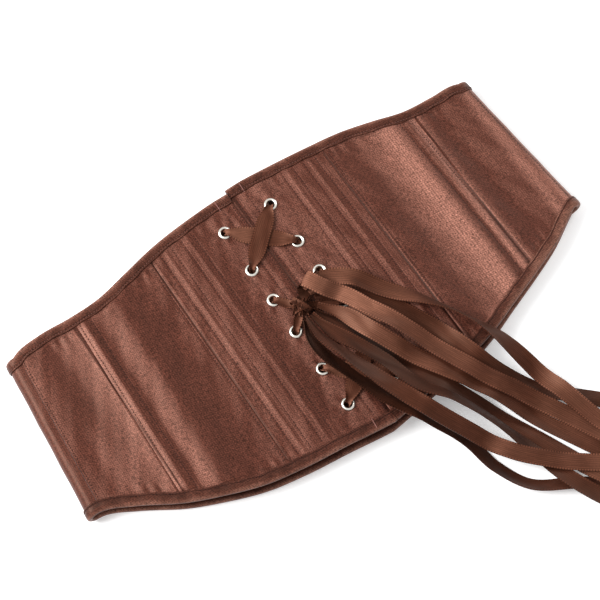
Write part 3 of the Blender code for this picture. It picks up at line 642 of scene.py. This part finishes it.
def even(points, step):
    """Evenly spaced points along a smooth curve through the given ones, and how far each is along it."""
    points = np.asarray(points, float)
    along = distances(points)
    fine = np.linspace(0, along[-1], 600)
    line = np.stack([through(along, points[:, k], fine) for k in range(points.shape[1])], axis=1)
    run = distances(line)
    at = np.linspace(0, run[-1], max(4, round(run[-1] / step) + 1))
    return sampled(line, run, at), at


# One stitch: rings of its thread by share of its half length, size and height
STITCH_RINGS = ((-1, 0.45, -0.9), (-0.45, 1, 0.25), (0.45, 1, 0.25), (1, 0.45, -0.9))
STITCH_SIDES = 5


def stitches(name, rows, material, pitch=2.3 * MM, length=1.60 * MM, radius=0.27 * MM):
    """Short threads sewn along rows, each row a list of surface points and normals."""
    points, faces = [], []
    turns = np.linspace(0, TAU, STITCH_SIDES, endpoint=False)
    for line, normals in rows:
        run = distances(line)
        at = np.arange(0.5 * pitch, run[-1] - 0.5 * pitch, pitch)
        spot = sampled(line, run, at)
        up = unit(sampled(normals, run, at))
        ahead = unit(sampled(line, run, at + 0.3 * pitch) - spot)
        beside = np.cross(up, ahead)
        for s, n, a, b in zip(spot, up, ahead, beside):
            start = len(points)
            for share, size, lift in STITCH_RINGS:
                middle = s + a * share * length / 2 + n * radius * lift
                for turn in turns:
                    points.append(middle + radius * size * (b * math.cos(turn) + n * math.sin(turn)))
            last = len(points) - STITCH_SIDES
            for low in range(start, last, STITCH_SIDES):
                for k in range(STITCH_SIDES):
                    following = low + (k + 1) % STITCH_SIDES
                    faces.append((low + k, following, following + STITCH_SIDES, low + k + STITCH_SIDES))
            faces.append(tuple(range(start + STITCH_SIDES - 1, start - 1, -1)))
            faces.append(tuple(range(last, last + STITCH_SIDES)))
    return make_object(name, points, faces, material, sharp=70)


def settle(piece, slot, *nodes):
    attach(piece, "root")
    if nodes:
        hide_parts(*nodes)


# Pieces of the belt

def eyelet_place(side, row):
    """Middle of the cloth at an eyelet, and its upward direction."""
    x = PLACKET_X + side * EYELET_INSET
    bottom, top = edge_heights(np.array(x), side, "front")
    t = (EYELET_ROWS[row] * HALF_HEIGHT - bottom) / (top - bottom)
    step = 0.0023
    rise = step / (top - bottom)
    places = np.array([(x - step, t), (x + step, t), (x, t - rise), (x, t + rise)])
    west, east, south, north = front_point(*places.T, side, False)
    return front_point(x, t, side, False), unit(np.cross(east - west, north - south))


def turned_panel(x, t, side):
    """An end panel that runs on round the start of the fold."""
    x = np.append(x, (x[-1] + FOLD[side]) / 2)
    turned = fold_point(np.linspace(0, SEAM_TURN[side] - 0.006, 5), t, side)
    return np.concatenate([front_point(x, t, side), turned], axis=1)


def stations(low, high, step):
    """Evenly spaced places from one seam of a panel to the other."""
    return np.linspace(low + SEAM_GAP / 4, high - SEAM_GAP / 4, round((high - low) / step) + 1)


def add_panels(satin):
    for side, name in SIDE_NAME.items():
        seams = [PLACKET_X, PLACKET_X + side * PLACKET_WIDTH,
                 PLACKET_X + side * (PLACKET_WIDTH + FRONT_PANEL_WIDTH), FOLD_SEAM[side]]
        holes = [(eyelet_place(side, row)[0], EYELET_HOLE) for row in range(len(EYELET_ROWS))]
        t = np.linspace(0, 1, 125)[:, None]
        for kind, start, end in zip(("placket", "front_panel", "end_panel"), seams, seams[1:]):
            x = stations(*sorted((start, end)), 0.95 * MM)
            turned = kind == "end_panel" and SEAM_TURN[side]
            grid = turned_panel(x, t, side) if turned else front_point(x, t, side)
            made = slab(f"{kind}_{name}_cloth", grid, CLOTH, satin, 1, holes if kind == "placket" else (),
                        painted_light=painted_light_of(grid, side))
            settle(made, "satin", f"{kind}_{name}")
        t = np.linspace(0, 1, 90)[:, None]
        flat = np.linspace(FOLD[side], FOLD_SEAM[side] + side * SEAM_GAP / 4, 4)[1:]
        turn = np.linspace(SEAM_TURN[side] + 0.012, 1, 19)
        parts = [fold_point(turn, t, side), back_point(flat, t, side)]
        if not SEAM_TURN[side]:
            parts.insert(0, front_point(flat[::-1], t, side))
        grid = np.concatenate(parts, axis=1)
        # Side strip painted evenly with its painted highlight
        painted_level = np.full(grid.shape[:2], STRIP_PAINTED_LIGHT[side])
        made = slab(f"side_strip_{name}_cloth", grid, CLOTH, satin, side, painted_light=painted_level)
        settle(made, "satin", f"side_strip_{name}")
    seams = (FOLD_SEAM[LEFT], PLACKET_X - PLACKET_WIDTH, PLACKET_X + PLACKET_WIDTH, FOLD_SEAM[RIGHT])
    t = np.linspace(0, 1, 60)[:, None]
    for name, low, high in zip(("left", "middle", "right"), seams, seams[1:]):
        grid = under_layer(stations(low, high, 3 * MM), t)
        settle(slab(f"back_panel_{name}_cloth", grid, CLOTH, satin), "satin", f"back_panel_{name}")


def round_line(t, step):
    """Points of the whole round at one share of the height."""
    parts = []
    for side in SIDES:
        count = round(abs(FOLD[side] - PLACKET_X) / step)
        x = np.linspace(PLACKET_X + side * SEAM_GAP / 2, FOLD[side], count)[:-1]
        fold = fold_point(np.linspace(0, 1, 15), t, side)
        parts.append(np.concatenate([front_point(x, t, side, False), fold]))
    x = np.linspace(FOLD[LEFT], FOLD[RIGHT], round(2 * HALF_WIDTH / step))[1:-1]
    return np.concatenate([parts[0], under_layer(x, t), parts[1][::-1]])


# Outer face of a binding: in from the cloth's edge and out from its middle, in millimetres
BAND = ((6.50, 1.32), (6.62, 1.62), (6.35, 1.92), (5.75, 1.98), (5.15, 1.66), (4.55, 2.02), (3.40, 2.22),
        (2.00, 2.28), (0.70, 2.14), (-0.30, 1.86), (-1.00, 1.30), (-1.38, 0.62), (-1.48, 0.0))
# Painted light across a binding's profile: painted shade in the stitch groove and at the inner edge, painted
# highlight on the rolled nose
BAND_PAINTED_LIGHT = (-0.80, -0.50, 0.05, -0.05, -0.65, -0.22, -0.18, -0.08, 0.30, 0.65, 0.80, 0.60, 0.30)
# Painted light shift of each binding: the top one lighter, the bottom one darker
BAND_PAINTED_LIGHT_SHIFT = {1: 0.04, 0: -0.14}
INNER_BAND = ((0.2, -1.25), (-0.5, 0.0), (0.2, 1.25))
# Stitching of a binding: in from the cloth's edge and out from its middle, in millimetres
BAND_STITCH = (5.15, 1.74)
# Tacks over a binding: where they are along x, and their last points like the band's, in millimetres
TACKS = (-10.8, 12.2)
TACK_END = ((7.2, 1.10), (8.6, 1.00))


def add_binding(name, edge, material, thread, tack_thread):
    """A binding round the bottom edge, 0, or the top edge, 1, with its stitching and tacks."""
    line = round_line(edge, 1.7 * MM)
    inner = round_line(abs(edge - 0.04), 1.7 * MM)
    ahead = unit(np.gradient(line, axis=0))
    inward = inner - line
    inward = unit(inward - ahead * np.sum(inward * ahead, axis=1, keepdims=True))
    outward = np.cross(ahead, inward) * (1 if edge == 1 else -1)
    run = distances(line) / MM
    mirrored = [(a, -b) for a, b in BAND[-2::-1]]
    profile = list(BAND) + mirrored + list(INNER_BAND)
    ripple = 0.16 * np.sin(run / 1.9 + 0.8 * np.sin(run / 13)) + 0.12 * np.sin(run / 4.7 + 1.3)
    slack = 0.28 * np.sin(run / 3.3 + 1.1 * np.sin(run / 17))
    rings = []
    for k, (a, b) in enumerate(profile):
        outer = k < len(BAND) + len(mirrored)
        soft = smooth((a + 1.2) / 3.5) if outer else 0.0
        rings.append(line + inward * ((a + slack * (a > 4) * outer) * MM)[:, None]
                     + outward * ((b + np.sign(b) * soft * ripple) * MM)[:, None])
    points = np.stack(rings, axis=1)
    rows, columns = points.shape[:2]
    first = list(range(columns))
    last = [(rows - 1) * columns + k for k in reversed(first)]
    faces = grid_faces(rows, columns, wrap=True).tolist() + [first[::-1], last[::-1]]
    if edge == 1:
        faces = [face[::-1] for face in faces]
    uv = np.stack(np.broadcast_arrays(np.arange(columns)[None, :] * 0.6 * MM, (run * MM)[:, None]), axis=-1)
    painted_level = np.array(BAND_PAINTED_LIGHT + BAND_PAINTED_LIGHT[-2::-1] + (0,) * len(INNER_BAND))[None, :]
    # Painted highlight and shade in patches along the binding, and a painted highlight over the right part of
    # the bottom binding
    painted_patch = 0.16 * np.sin(run / 7.1 + 1.4 * np.sin(run / 23)) + 0.08 * np.sin(run / 2.3)
    painted_patch = painted_patch + BAND_PAINTED_LIGHT_SHIFT[edge]
    if edge == 0:
        painted_patch = painted_patch + 0.62 * smooth((line[:, 0] / MM - 95) / 60)
    painted_level = np.clip(painted_level + painted_patch[:, None] * (painted_level > -0.3), -0.9, 0.8)
    made = make_object(name + "_band", points.reshape(-1, 3), faces, material, uv.reshape(-1, 2), 50, painted_level)
    settle(made, "edging", name)
    inset, rise = BAND_STITCH
    sewn = [(line + inward * inset * MM + outward * sign * rise * MM, outward * sign) for sign in (1, -1)]
    settle(stitches(name + "_stitching", sewn, thread, pitch=2.2 * MM, radius=0.33 * MM), "edging")
    inset, rise = zip(*sorted(BAND[2:9]), *TACK_END)
    across = np.linspace(0.6, 8.4, 12)[:, None]
    above = np.interp(across, inset, rise) + 0.12
    tacks = []
    for x in TACKS:
        i = np.argmin(np.abs(line[:, 0] / MM - x) + 50 * (line[:, 2] < FOLD_THICKNESS / 2))
        spots = line[i] + (inward[i] * across + outward[i] * above) * MM
        tacks.append((spots, np.broadcast_to(outward[i], spots.shape)))
    settle(stitches(name + "_tacks", tacks, tack_thread, 0.95 * MM, 1.05 * MM, 0.40 * MM), "edging")


def sewn_row(line, beside):
    """A row of stitches just above the cloth, from its middle line and one close beside it."""
    up = unit(np.cross(beside - line, np.gradient(line, axis=0)))
    return line + up * (CLOTH / 2 + 0.05 * MM), up


def add_seam_stitches(thread):
    t = np.linspace(0.045, 0.955, 120)
    for side in SIDES:
        rows = []
        end = side * (FOLD_SEAM[side] - PLACKET_X) / MM - 1.6
        for offset in STITCH_ROWS + ((end,) if side == LEFT else ()):
            x = PLACKET_X + side * offset * MM
            rows.append(sewn_row(front_point(x, t, side), front_point(x + 0.3 * MM, t, side)))
        if side == RIGHT:
            turn = SEAM_TURN[side] - 0.045
            rows.append(sewn_row(fold_point(turn, t, side), fold_point(turn + 0.01, t, side)))
        settle(stitches(f"seam_stitching_{SIDE_NAME[side]}", rows, thread), "satin")


def add_eyelets(metal):
    """Rings turned from a profile of radius and height over the cloth's middle, in millimetres."""
    bore, flange = 2.8, 4.75
    profile = [(bore, -1.2), (bore, 0.9), (bore + 0.10, 1.45), (bore + 0.45, 1.86), (bore + 0.95, 1.98),
               (bore + 1.45, 1.82), (flange - 0.12, 1.45), (flange, 1.22), (flange - 0.1, 1.16), (3.4, 1.16),
               (3.25, 1.0), (3.25, -1.2), (4.3, -1.22), (4.25, -1.4), (3.4, -1.7), (bore + 0.05, -1.5)]
    segments = 40
    turns = np.linspace(0, TAU, segments, endpoint=False)
    ring = np.array([[(r * math.cos(a), r * math.sin(a), z) for a in turns] for r, z in profile]) * MM
    i, k = np.divmod(np.arange(len(profile) * segments), segments)
    low, high = i * segments, (i + 1) % len(profile) * segments
    following = (k + 1) % segments
    faces = np.stack([low + k, high + k, high + following, low + following], axis=1)
    for side, row in EYELETS:
        place, up = eyelet_place(side, row)
        turn = np.array(Vector(up).to_track_quat("Z", "Y").to_matrix())
        points = ring.reshape(-1, 3) @ turn.T + place
        name = f"eyelet_{SIDE_NAME[side]}_{row + 1}"
        settle(make_object(name + "_ring", points, faces, metal, sharp=60), "silver", name)


# Laces, knot and ribbons

# Eyelets a lace passes, then each run's side of the cloth, with 1 where it crosses over another
TOP_LACE = (((LEFT, 2), (LEFT, 1), (RIGHT, 0), (LEFT, 0), (RIGHT, 1), (RIGHT, 2)),
            (("under", 0), ("over", 1), ("under", 0), ("over", 0), ("under", 0)))
BOTTOM_LACE = (((LEFT, 3), (LEFT, 4), (RIGHT, 5), (LEFT, 5), (RIGHT, 4), (RIGHT, 3)),
               (("under", 0), ("over", 0), ("under", 0), ("over", 1), ("under", 0)))


def eased(values):
    """Values with each inner one drawn towards its neighbours."""
    inner = (values[:-2] + 2 * values[1:-1] + values[2:]) / 4
    return np.concatenate([values[:1], inner, values[-1:]])


def surface_height(x, y):
    side = LEFT if x < PLACKET_X else RIGHT
    bottom, top = edge_heights(np.array(x), side, "front")
    return float(front_point(x, (y - bottom) / (top - bottom), side)[2]) + CLOTH / 2


def knot_centre():
    return np.array([*KNOT, surface_height(*KNOT) + 0.4 * MM + KNOT_SIZE[2] / 2])


def flight(start, end, level, crest):
    """Rows of x, y, z, width and painted light between two eyelets, dipping into both."""
    length = np.linalg.norm(end[:2] - start[:2]) / MM
    lie = (CLOTH + RIBBON_THICKNESS) / MM / 2
    out = lie + 1.45
    middle = (lie + 0.35 + 1.2 * crest) if level == "over" else out
    up = 1 if level == "over" else -1
    ends = ((0.0, 0.2, 4.0), (0.9, out - 0.5, 4.1), (2.6, out + 0.15, 4.9), (6.0, out, 7.6),
            (12.0, middle + 0.2, 11.4))
    ends = [(min(s, 0.45 * length), z, w) for s, z, w in ends]
    rows = ends + [(length / 2, middle + 0.15, 12.2)] + [(length - s, z, w) for s, z, w in ends[::-1]]
    points = []
    for distance, height, width in rows:
        share = distance / length
        base = start + (end - start) * share
        if 0.2 < share < 0.8 and level == "over":
            base[2] = surface_height(base[0], base[1]) - CLOTH / 2
        # Painted highlight on the first part of each run, except where it crosses over another
        glow = 0.46 if crest == 0 and share < 0.45 else 0.0
        points.append((base[0], base[1], base[2] + up * height * MM, width * MM, glow * MM))
    return points


def arm(start, knot):
    """Rows of x, y, z, width and painted light, none here, from an eyelet up to the knot's side."""
    plan = knot[:2] - start[:2]
    length = np.linalg.norm(plan) / MM
    heading = plan / np.linalg.norm(plan)
    reach = length - 5.0
    rows = ((0.0, 0.3, 4.0), (0.9, 2.0, 4.3), (2.6, 2.9, 4.8), (5.0, 3.0, 5.6), (0.8 * reach, 3.8, 6.0),
            (reach, 5.6, 4.6))
    return [(*(start[:2] + heading * s * MM), start[2] + z * MM, w * MM, 0.0) for s, z, w in rows]


def add_lace(name, stops, flights, material):
    """A lace from the knot through its eyelets and back to the knot."""
    places = [eyelet_place(*stop)[0] for stop in stops]
    knot = knot_centre()
    rows = arm(places[0], knot)[::-1]
    for a, b, (level, crest) in zip(places, places[1:], flights):
        rows += flight(a, b, level, crest)[1:-1]
    rows = np.array(rows + arm(places[-1], knot))
    keep = np.append(True, np.diff(distances(rows[:, :3])) > 0.25 * MM)
    line, _ = even(rows[keep], 0.8 * MM)
    middles, widths, glow = line[:, :3], line[:, 3], line[:, 4:] / MM
    ahead = unit(np.gradient(middles, axis=0))
    wides = np.cross(ahead, (0.0, 0.0, 1.0))
    flat = np.linalg.norm(wides, axis=1)
    wides = unit(wides)
    for i in range(1, len(wides)):
        if flat[i] < 0.35:
            wides[i] = wides[i - 1]
        elif wides[i] @ wides[i - 1] < 0:
            wides[i] = -wides[i]
    for _ in range(4):
        wides = unit(eased(wides))
    cup = 1.4 * MM * (1 - smooth((widths / MM - 5) / 6))
    made = strip(name + "_ribbon", middles, wides, widths, material, cup, 11, glow, 0.12 * MM)
    settle(made, "ribbon", name)


class Relief:
    """Height of everything laid down so far, on a grid under the loose ribbons."""

    CELL = 1.5 * MM
    # Room kept over and beside the binding
    BAND_REACH = 0.010
    BAND_RISE = 0.0014
    NOSE_REACH = 0.003
    SLOPE_REACH = 0.007
    SLOPE_HEIGHT = 0.0042

    def __init__(self, low, high):
        self.low = np.asarray(low, float)
        counts = np.ceil((np.asarray(high) - self.low) / self.CELL).astype(int) + 1
        x = self.low[0] + np.arange(counts[0]) * self.CELL
        y = self.low[1] + np.arange(counts[1]) * self.CELL
        self.top = np.zeros(counts)
        for i, at in enumerate(x):
            side = LEFT if at < PLACKET_X else RIGHT
            bottom, top = edge_heights(np.array(at), side, "front")
            t = (y - bottom) / (top - bottom)
            z = front_point(at, np.clip(t, 0, 1), side)[:, 2] + CLOTH / 2
            z += np.where(np.minimum(y - bottom, top - y) < self.BAND_REACH, self.BAND_RISE, 0.0)
            on = (y > bottom - self.NOSE_REACH) & (y < top + self.NOSE_REACH)
            beside = (y > bottom - self.SLOPE_REACH) & (y <= bottom - self.NOSE_REACH)
            self.top[i] = np.where(on, z, np.where(beside, self.SLOPE_HEIGHT, 0.0))

    def cells(self, points):
        places = np.round((np.asarray(points)[..., :2] - self.low) / self.CELL).astype(int)
        return np.clip(places, 0, np.array(self.top.shape) - 1)

    def raise_to(self, points, heights):
        places = self.cells(points)
        np.maximum.at(self.top, (places[:, 0], places[:, 1]), heights)

    def under(self, points):
        """The highest of the cells at and around some points."""
        around = self.cells(points)[:, None] + np.indices((3, 3)).reshape(2, 9).T - 1
        around = np.clip(around, 0, np.array(self.top.shape) - 1)
        return float(self.top[around[..., 0], around[..., 1]].max())


def lay_ribbon(ribbon, ground):
    """Middle points, width directions, widths and distances of a ribbon laid over the ground."""
    plan, run = even(np.array(ribbon.route) * MM + np.array(KNOT), 2.0 * MM)
    ahead = unit(np.gradient(plan, axis=0))
    beside = np.stack([ahead[:, 1], -ahead[:, 0]], axis=1)
    widths = BUNCHED_WIDTH + (RIBBON_WIDTH - BUNCHED_WIDTH) * smooth(run / 0.028)
    roll = np.radians(through(*zip(*ribbon.rolls), run / run[-1]))
    need = np.empty(len(run))
    for i in range(len(run)):
        reach = widths[i] / 2 * math.cos(roll[i])
        best = 0.0
        for share in np.linspace(-1, 1, 9):
            spots = plan[i] + beside[i] * reach * share + ahead[i] * np.array([[-1.0], [0], [1]]) * MM
            drop = share * widths[i] / 2 * math.sin(roll[i])
            best = max(best, ground.under(spots) - drop)
        need[i] = best + 0.8 * MM
    base = knot_centre()[2] - KNOT_SIZE[2] / 2
    need[0] = max(need[0], base + ribbon.start_height * MM)
    # No steeper than 0.45, eased above the ground, then eased a little into it
    height = np.array([np.max(need - 0.45 * np.abs(run - s)) for s in run])
    for turn in range(18):
        height = eased(height)
        if turn < 12:
            height = np.maximum(need, height)
    middles = np.column_stack([plan, height])
    wides = np.column_stack([beside * np.cos(roll)[:, None], np.sin(roll)])
    for i in range(len(run)):
        spots = middles[i] + wides[i] * (widths[i] / 2 * np.linspace(-1, 1, 15))[:, None]
        ground.raise_to(spots, np.minimum(spots[:, 2], middles[i, 2] + 2.0 * MM) + 0.4 * MM)
    return middles, wides, widths, run


def add_ribbons(material):
    """The loose ribbons, each laid over those before it."""
    ground = Relief((-0.045, -0.270), (0.175, 0.095))
    turn = np.linspace(0, TAU, 24)
    around = np.column_stack([np.cos(turn), np.sin(turn)])
    for side, row in EYELETS:
        place, _ = eyelet_place(side, row)
        for radius in np.linspace(0, 4.8 * MM, 6):
            ground.raise_to(place[:2] + radius * around, np.full(24, place[2] + CLOTH / 2 + 1.2 * MM))
    laid = {}
    for number, ribbon in enumerate(RIBBONS, 1):
        name = f"ribbon_{number}"
        middles, wides, widths, run = lay_ribbon(ribbon, ground)
        cup = 0.7 * MM * np.sin(run / 0.031 + number * 1.7) + 0.9 * MM * (1 - smooth(run / 0.03))
        crease = 0.35 * MM * np.exp(-run / 0.06) + 0.08 * MM
        glow = through(*zip(*ribbon.glow), run / run[-1])[:, None]
        made = strip(name + "_satin", middles, wides, widths, material, cup, 13, glow, crease)
        settle(made, "ribbon", name)
        laid[name] = (middles, run)
    return laid


# Bands wrapped round the knot: tilt in radians, size, and width and shift in millimetres
WRAPS = ((0.2, 0.66, 6.0, -1.0), (1.15, 0.74, 4.6, 0.6), (-0.75, 0.60, 5.2, 1.6), (1.9, 0.54, 4.0, -1.8))
# The loop from the knot to a loose ribbon, in millimetres from the knot's middle
ARCH = ((2.0, 1.0, 1.0), (7.0, 6.0, 0.5), (11.0, 11.0, 1.5), (12.4, 14.2, 5.2), (13.2, 12.0, 9.0),
        (15.2, 8.0, 9.8), (19.0, 1.5, 8.6))


def add_knot(material, over):
    """The knot's wraps, and a loop that runs out over one of the laid ribbons."""
    centre = knot_centre()
    wide, long, high = KNOT_SIZE
    points, faces, uv, painted_levels = [], [], [], []

    # Bands are made as pieces of their own, read back and joined
    def add_band(middles, wides, widths, cup, glow, crease):
        made = strip("band", middles, wides, widths, material, cup, 9, glow, crease)
        start = len(points)
        points.extend([tuple(v.co) for v in made.data.vertices])
        faces.extend([tuple(start + k for k in p.vertices) for p in made.data.polygons])
        painted_levels.extend(value.value for value in made.data.attributes["painted_light"].data)
        flat = np.zeros((len(made.data.vertices), 2))
        for loop, corner in zip(made.data.loops, made.data.uv_layers[0].data):
            flat[loop.vertex_index] = corner.uv
        uv.extend(flat.tolist())
        bpy.data.objects.remove(made, do_unlink=True)

    turns = np.linspace(0, TAU, 49)
    for tilt, size, width, shift in WRAPS:
        axis = np.array([math.sin(tilt), math.cos(tilt), 0.0])
        side = np.array([math.cos(tilt), -math.sin(tilt), 0.0])
        radius = 0.5 * size * (wide * abs(side[0]) + long * abs(side[1]))
        middles = (centre + axis * shift * MM + side * (np.cos(turns) * radius)[:, None]
                   + np.array([0, 0, 1.0]) * (np.sin(turns) * 0.46 * high * size)[:, None])
        # Knot wraps darkened with painted shade
        add_band(middles, np.broadcast_to(-axis, middles.shape), width * MM, -0.8 * MM, -0.30, 0.16 * MM)
    middles, run = over
    near = (run > 0.024) & (run < 0.060)
    tail = middles[near] + np.outer(0.9 - 2.6 * smooth((run[near] - 0.036) / 0.024), (0, 0, MM))
    line, run = even(np.concatenate([centre + np.array(ARCH) * MM, tail]), 0.7 * MM)
    flat = np.cross(unit(line[-1] - line[len(line) // 3]), (0.0, 0.0, 1.0))
    widths = (5.0 + 7.0 * smooth(run / 0.014)) * MM
    # Painted shade inside the loop near the knot, painted highlight further along
    glow = (0.58 - 1.30 * (1 - smooth((run - 0.016) / 0.006)))[:, None]
    add_band(line, np.broadcast_to(flat, line.shape), widths, -0.3 * MM, glow, 0.10 * MM)
    made = make_object("knot_wraps", points, faces, material, uv, 50, painted_levels)
    settle(made, "ribbon", "knot")


add_camera()
# painted_highlight is the painted highlight colour this ribbon material blends towards
ribbon_satin = ribbon_material("Brown ribbon", painted_highlight=(0.205, 0.085, 0.053), light=(0.064, 0.0203, 0.0114),
                               dark=(0.044, 0.0132, 0.0068))
laid = add_ribbons(ribbon_satin)
add_knot(ribbon_satin, laid["ribbon_7"])
add_lace("lace_top", *TOP_LACE, ribbon_satin)
add_lace("lace_bottom", *BOTTOM_LACE, ribbon_satin)
# painted_highlight is the painted highlight colour each satin material blends towards
satin = satin_material("Brown satin", painted_highlight=(0.265, 0.115, 0.083), light=(0.072, 0.0220, 0.0142),
                       dark=(0.060, 0.0178, 0.0114), roughness=0.40, along="y")
edging = satin_material("Brown edging", painted_highlight=(0.180, 0.080, 0.056), light=(0.066, 0.021, 0.0135),
                        dark=(0.054, 0.0165, 0.0105), roughness=0.42, along="x")
thread = thread_material("Sewing thread", (0.020, 0.007, 0.005), (0.050, 0.018, 0.013))
edge_thread = thread_material("Edge thread", (0.075, 0.030, 0.022), (0.150, 0.064, 0.048))
tack_thread = thread_material("Tack thread", (0.21, 0.090, 0.075), (0.32, 0.150, 0.125))
add_panels(satin)
add_binding("binding_top", 1, edging, edge_thread, tack_thread)
add_binding("binding_bottom", 0, edging, thread, tack_thread)
add_seam_stitches(thread)
add_eyelets(metal_material())
add_studio()
